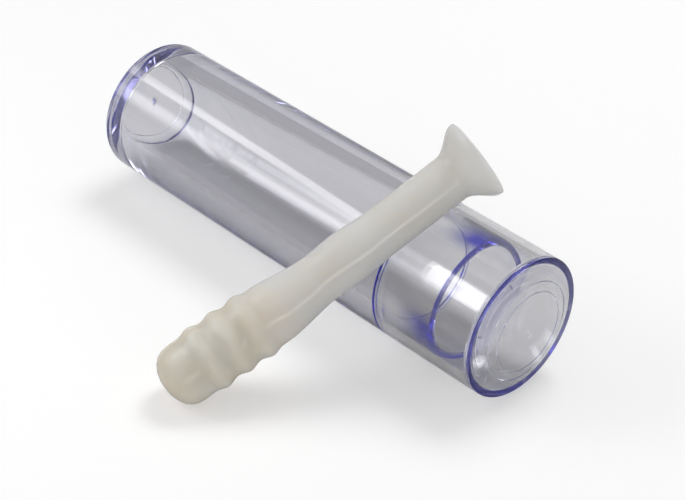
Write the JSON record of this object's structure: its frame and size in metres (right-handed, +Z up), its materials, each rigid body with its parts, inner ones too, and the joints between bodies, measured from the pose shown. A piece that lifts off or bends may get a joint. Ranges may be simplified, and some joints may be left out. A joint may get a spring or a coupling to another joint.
{
  "type": "contact lens plunger with storage tube",
  "caption": "Soft silicone suction plunger with a ribbed squeeze bulb, lying across its clear round-ended storage tube with a push-on cap.",
  "frame": {"origin": "middle of the whole set's box in X and Y, on the surface that the set lies on", "axes": "+X along the storage tube from its closed end to its cap, +Z up; the plunger leans on the tube from the -Y side"},
  "size_m": [0.0684, 0.0428, 0.0294],
  "materials": {
    "clear_plastic": "clear moulded polystyrene with a faint blue tint, polished",
    "milky_silicone": "translucent milky silicone, satin"
  },
  "bodies": {
    "tube": {"tube_body": "clear_plastic", "plunger": "milky_silicone"},
    "cap": {"cap": "clear_plastic"}
  },
  "joints": [
    {"name": "cap_slide", "type": "slide", "parent": "tube", "child": "cap", "axis": [1, 0, 0], "range_m": [0, 0.025]}
  ]
}
